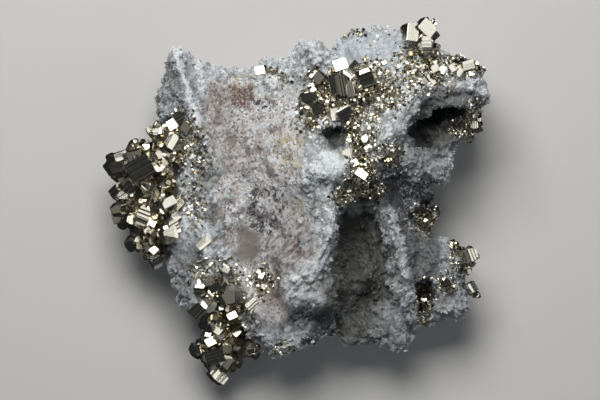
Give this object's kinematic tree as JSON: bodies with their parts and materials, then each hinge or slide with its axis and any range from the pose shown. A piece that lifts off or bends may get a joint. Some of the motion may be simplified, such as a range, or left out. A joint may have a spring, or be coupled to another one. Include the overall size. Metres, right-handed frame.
{
  "type": "pyrite and quartz specimen",
  "caption": "Hand specimen of faceted brassy pyrite crystals on an irregular hollow-faced rock crusted with fine white quartz, resting on its flat broken back.",
  "frame": {"origin": "middle of the specimen's box at the level of its flat back, which it rests on", "axes": "+Z out of the best face, +X to the right across that face as the picture shows it, +Y up it"},
  "size_m": [0.1074, 0.1016, 0.0497],
  "materials": {
    "quartz": "sugary crust of tiny quartz crystals, white to pinkish grey",
    "pyrite": "bright pale brassy metallic faces, finely striated"
  },
  "bodies": {
    "root": {"quartz_rock": "quartz", "pyrite_left_growth": "pyrite", "pyrite_lower_left_growth": "pyrite", "pyrite_centre_growth": "pyrite", "pyrite_top_growth": "pyrite", "pyrite_far_right_druse": "pyrite", "pyrite_right_edge_crystals": "pyrite", "pyrite_right_middle_crystals": "pyrite", "pyrite_lower_right_crystals": "pyrite", "pyrite_lower_right_tip": "pyrite", "pyrite_hollow_crystals": "pyrite", "pyrite_lobe_inset": "pyrite", "pyrite_face_inset": "pyrite", "pyrite_rim_crystals": "pyrite", "pyrite_dark_patch": "pyrite"}
  },
  "joints": []
}
